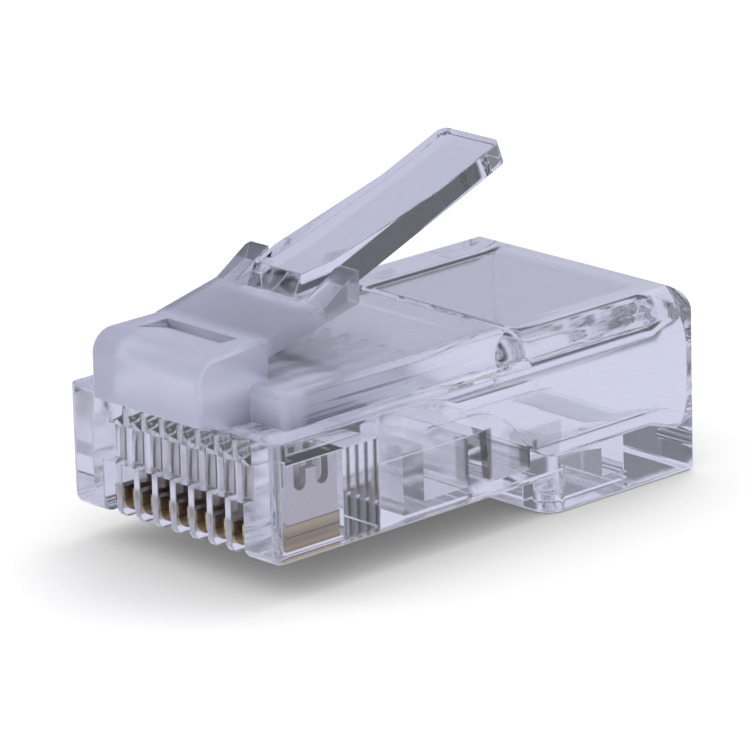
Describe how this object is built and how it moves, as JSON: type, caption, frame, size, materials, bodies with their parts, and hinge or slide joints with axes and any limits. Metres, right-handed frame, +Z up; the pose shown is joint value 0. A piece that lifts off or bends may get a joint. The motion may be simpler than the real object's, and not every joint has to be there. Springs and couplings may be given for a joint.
{
  "type": "modular plug",
  "caption": "Clear modular plug for twisted-pair network cable, not yet crimped, with a springing latch, stamped contacts and strain relief bars.",
  "frame": {"origin": "middle of the plug's length and width, on the plane of the cable end's underside", "axes": "+Z up through the latch side, -Y out of the nose that enters the jack, +Y out of the cable entry, +X across"},
  "size_m": [0.0116, 0.023, 0.0137],
  "materials": {
    "clear_plastic": "clear moulded polycarbonate",
    "contact_metal": "gold flash on phosphor bronze"
  },
  "bodies": {
    "housing_body": {"housing": "clear_plastic"},
    "latch_body": {"latch": "clear_plastic"},
    "wire_bar_body": {"wire_bar": "clear_plastic"},
    "jacket_bar_body": {"jacket_bar": "clear_plastic"},
    "contact_1_body": {"contact_1": "contact_metal"},
    "contact_2_body": {"contact_2": "contact_metal"},
    "contact_3_body": {"contact_3": "contact_metal"},
    "contact_4_body": {"contact_4": "contact_metal"},
    "contact_5_body": {"contact_5": "contact_metal"},
    "contact_6_body": {"contact_6": "contact_metal"},
    "contact_7_body": {"contact_7": "contact_metal"},
    "contact_8_body": {"contact_8": "contact_metal"}
  },
  "joints": [
    {"name": "latch_press", "type": "hinge", "parent": "housing_body", "child": "latch_body", "pos_m": [0, -0.00795, 0.00872], "axis": [-1, 0, 0], "range_deg": [0, 18], "stiffness_Nm_per_rad": 0.02},
    {"name": "wire_bar_press", "type": "hinge", "parent": "housing_body", "child": "wire_bar_body", "pos_m": [0, 0.0002, 0.00162], "axis": [-1, 0, 0], "range_deg": [0, 8]},
    {"name": "jacket_bar_press", "type": "hinge", "parent": "housing_body", "child": "jacket_bar_body", "pos_m": [0, 0.00865, 0.00022], "axis": [-1, 0, 0], "range_deg": [0, 22]},
    {"name": "contact_1_crimp", "type": "slide", "parent": "housing_body", "child": "contact_1_body", "axis": [0, 0, 1], "range_m": [0, 0.0006]},
    {"name": "contact_2_crimp", "type": "slide", "parent": "housing_body", "child": "contact_2_body", "axis": [0, 0, 1], "range_m": [0, 0.0006]},
    {"name": "contact_3_crimp", "type": "slide", "parent": "housing_body", "child": "contact_3_body", "axis": [0, 0, 1], "range_m": [0, 0.0006]},
    {"name": "contact_4_crimp", "type": "slide", "parent": "housing_body", "child": "contact_4_body", "axis": [0, 0, 1], "range_m": [0, 0.0006]},
    {"name": "contact_5_crimp", "type": "slide", "parent": "housing_body", "child": "contact_5_body", "axis": [0, 0, 1], "range_m": [0, 0.0006]},
    {"name": "contact_6_crimp", "type": "slide", "parent": "housing_body", "child": "contact_6_body", "axis": [0, 0, 1], "range_m": [0, 0.0006]},
    {"name": "contact_7_crimp", "type": "slide", "parent": "housing_body", "child": "contact_7_body", "axis": [0, 0, 1], "range_m": [0, 0.0006]},
    {"name": "contact_8_crimp", "type": "slide", "parent": "housing_body", "child": "contact_8_body", "axis": [0, 0, 1], "range_m": [0, 0.0006]}
  ]
}
